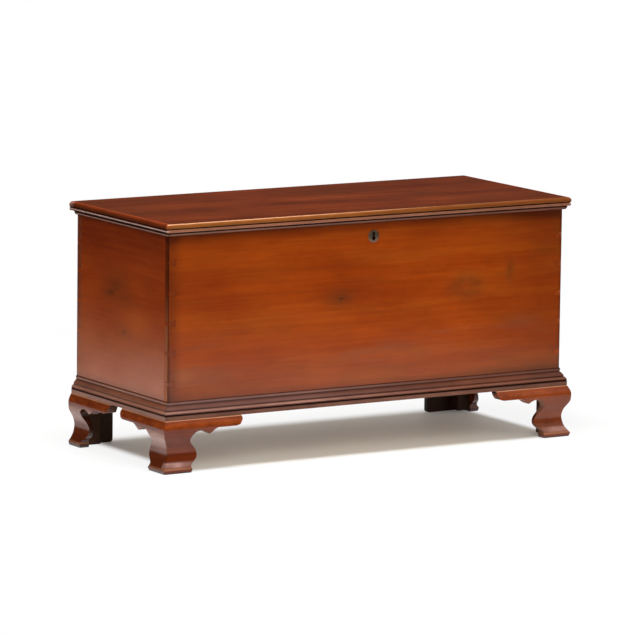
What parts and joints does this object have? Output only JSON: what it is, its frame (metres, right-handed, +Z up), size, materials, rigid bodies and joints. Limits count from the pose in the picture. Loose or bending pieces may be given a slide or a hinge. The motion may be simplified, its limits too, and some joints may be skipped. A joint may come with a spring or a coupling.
{
  "type": "blanket chest",
  "caption": "Low rectangular wooden chest with a hinged moulded lid, dovetailed case, moulded base, ogee bracket feet and a keyhole lock.",
  "frame": {"origin": "centre of the whole chest's footprint on the floor", "axes": "+X to the right end seen from the front, -Y out of the front, +Z up"},
  "size_m": [1.2804, 0.5292, 0.657],
  "materials": {
    "case_cherry": "satin varnish over figured cherry",
    "moulding_cherry": "glossy darker cherry, near black in the quirks",
    "lid_cherry": "satin, edges worn lighter",
    "secondary_wood": "bare aged softwood",
    "aged_brass": "aged, dull",
    "iron": "aged wrought iron"
  },
  "bodies": {
    "case": {"front_board": "case_cherry", "left_end_board": "case_cherry", "right_end_board": "case_cherry", "back_board": "secondary_wood", "bottom_plank_1": "secondary_wood", "bottom_plank_2": "secondary_wood", "bottom_plank_3": "secondary_wood", "base_rail_front": "moulding_cherry", "base_moulding_front": "moulding_cherry", "rim_moulding_front": "moulding_cherry", "base_rail_left": "moulding_cherry", "base_moulding_left": "moulding_cherry", "rim_moulding_left": "moulding_cherry", "base_rail_right": "moulding_cherry", "base_moulding_right": "moulding_cherry", "rim_moulding_right": "moulding_cherry", "base_rail_back": "secondary_wood", "foot_front_left_face": "moulding_cherry", "foot_front_right_face": "moulding_cherry", "foot_front_left_side": "moulding_cherry", "foot_front_right_side": "moulding_cherry", "foot_rear_left_side": "moulding_cherry", "foot_rear_right_side": "moulding_cherry", "foot_rear_left_back": "secondary_wood", "corner_block_front_left": "secondary_wood", "corner_block_rear_left": "secondary_wood", "foot_rear_right_back": "secondary_wood", "corner_block_front_right": "secondary_wood", "corner_block_rear_right": "secondary_wood", "hinge_left_case_leaf": "iron", "hinge_left_pin": "iron", "hinge_left_case_screw_1": "iron", "hinge_left_case_screw_2": "iron", "hinge_right_case_leaf": "iron", "hinge_right_pin": "iron", "hinge_right_case_screw_1": "iron", "hinge_right_case_screw_2": "iron", "lock_plate": "iron", "lock_case": "iron", "lock_spring": "iron", "lock_screw_1": "iron", "lock_screw_2": "iron", "lock_screw_3": "iron", "lock_screw_4": "iron", "escutcheon": "aged_brass", "escutcheon_pin_1": "aged_brass", "escutcheon_pin_2": "aged_brass"},
    "lid": {"lid_board": "lid_cherry", "lock_catch": "iron", "catch_screw_1": "iron", "catch_screw_2": "iron", "hinge_left_lid_leaf": "iron", "hinge_left_lid_screw_1": "iron", "hinge_left_lid_screw_2": "iron", "hinge_right_lid_leaf": "iron", "hinge_right_lid_screw_1": "iron", "hinge_right_lid_screw_2": "iron"},
    "bolt": {"lock_bolt": "iron"}
  },
  "joints": [
    {"name": "lid_hinge", "type": "hinge", "parent": "case", "child": "lid", "pos_m": [0, 0.2545, 0.63315], "axis": [-1, 0, 0], "range_deg": [0, 105]},
    {"name": "lock_bolt_slide", "type": "slide", "parent": "case", "child": "bolt", "axis": [1, 0, 0], "range_m": [0, 0.008]}
  ]
}
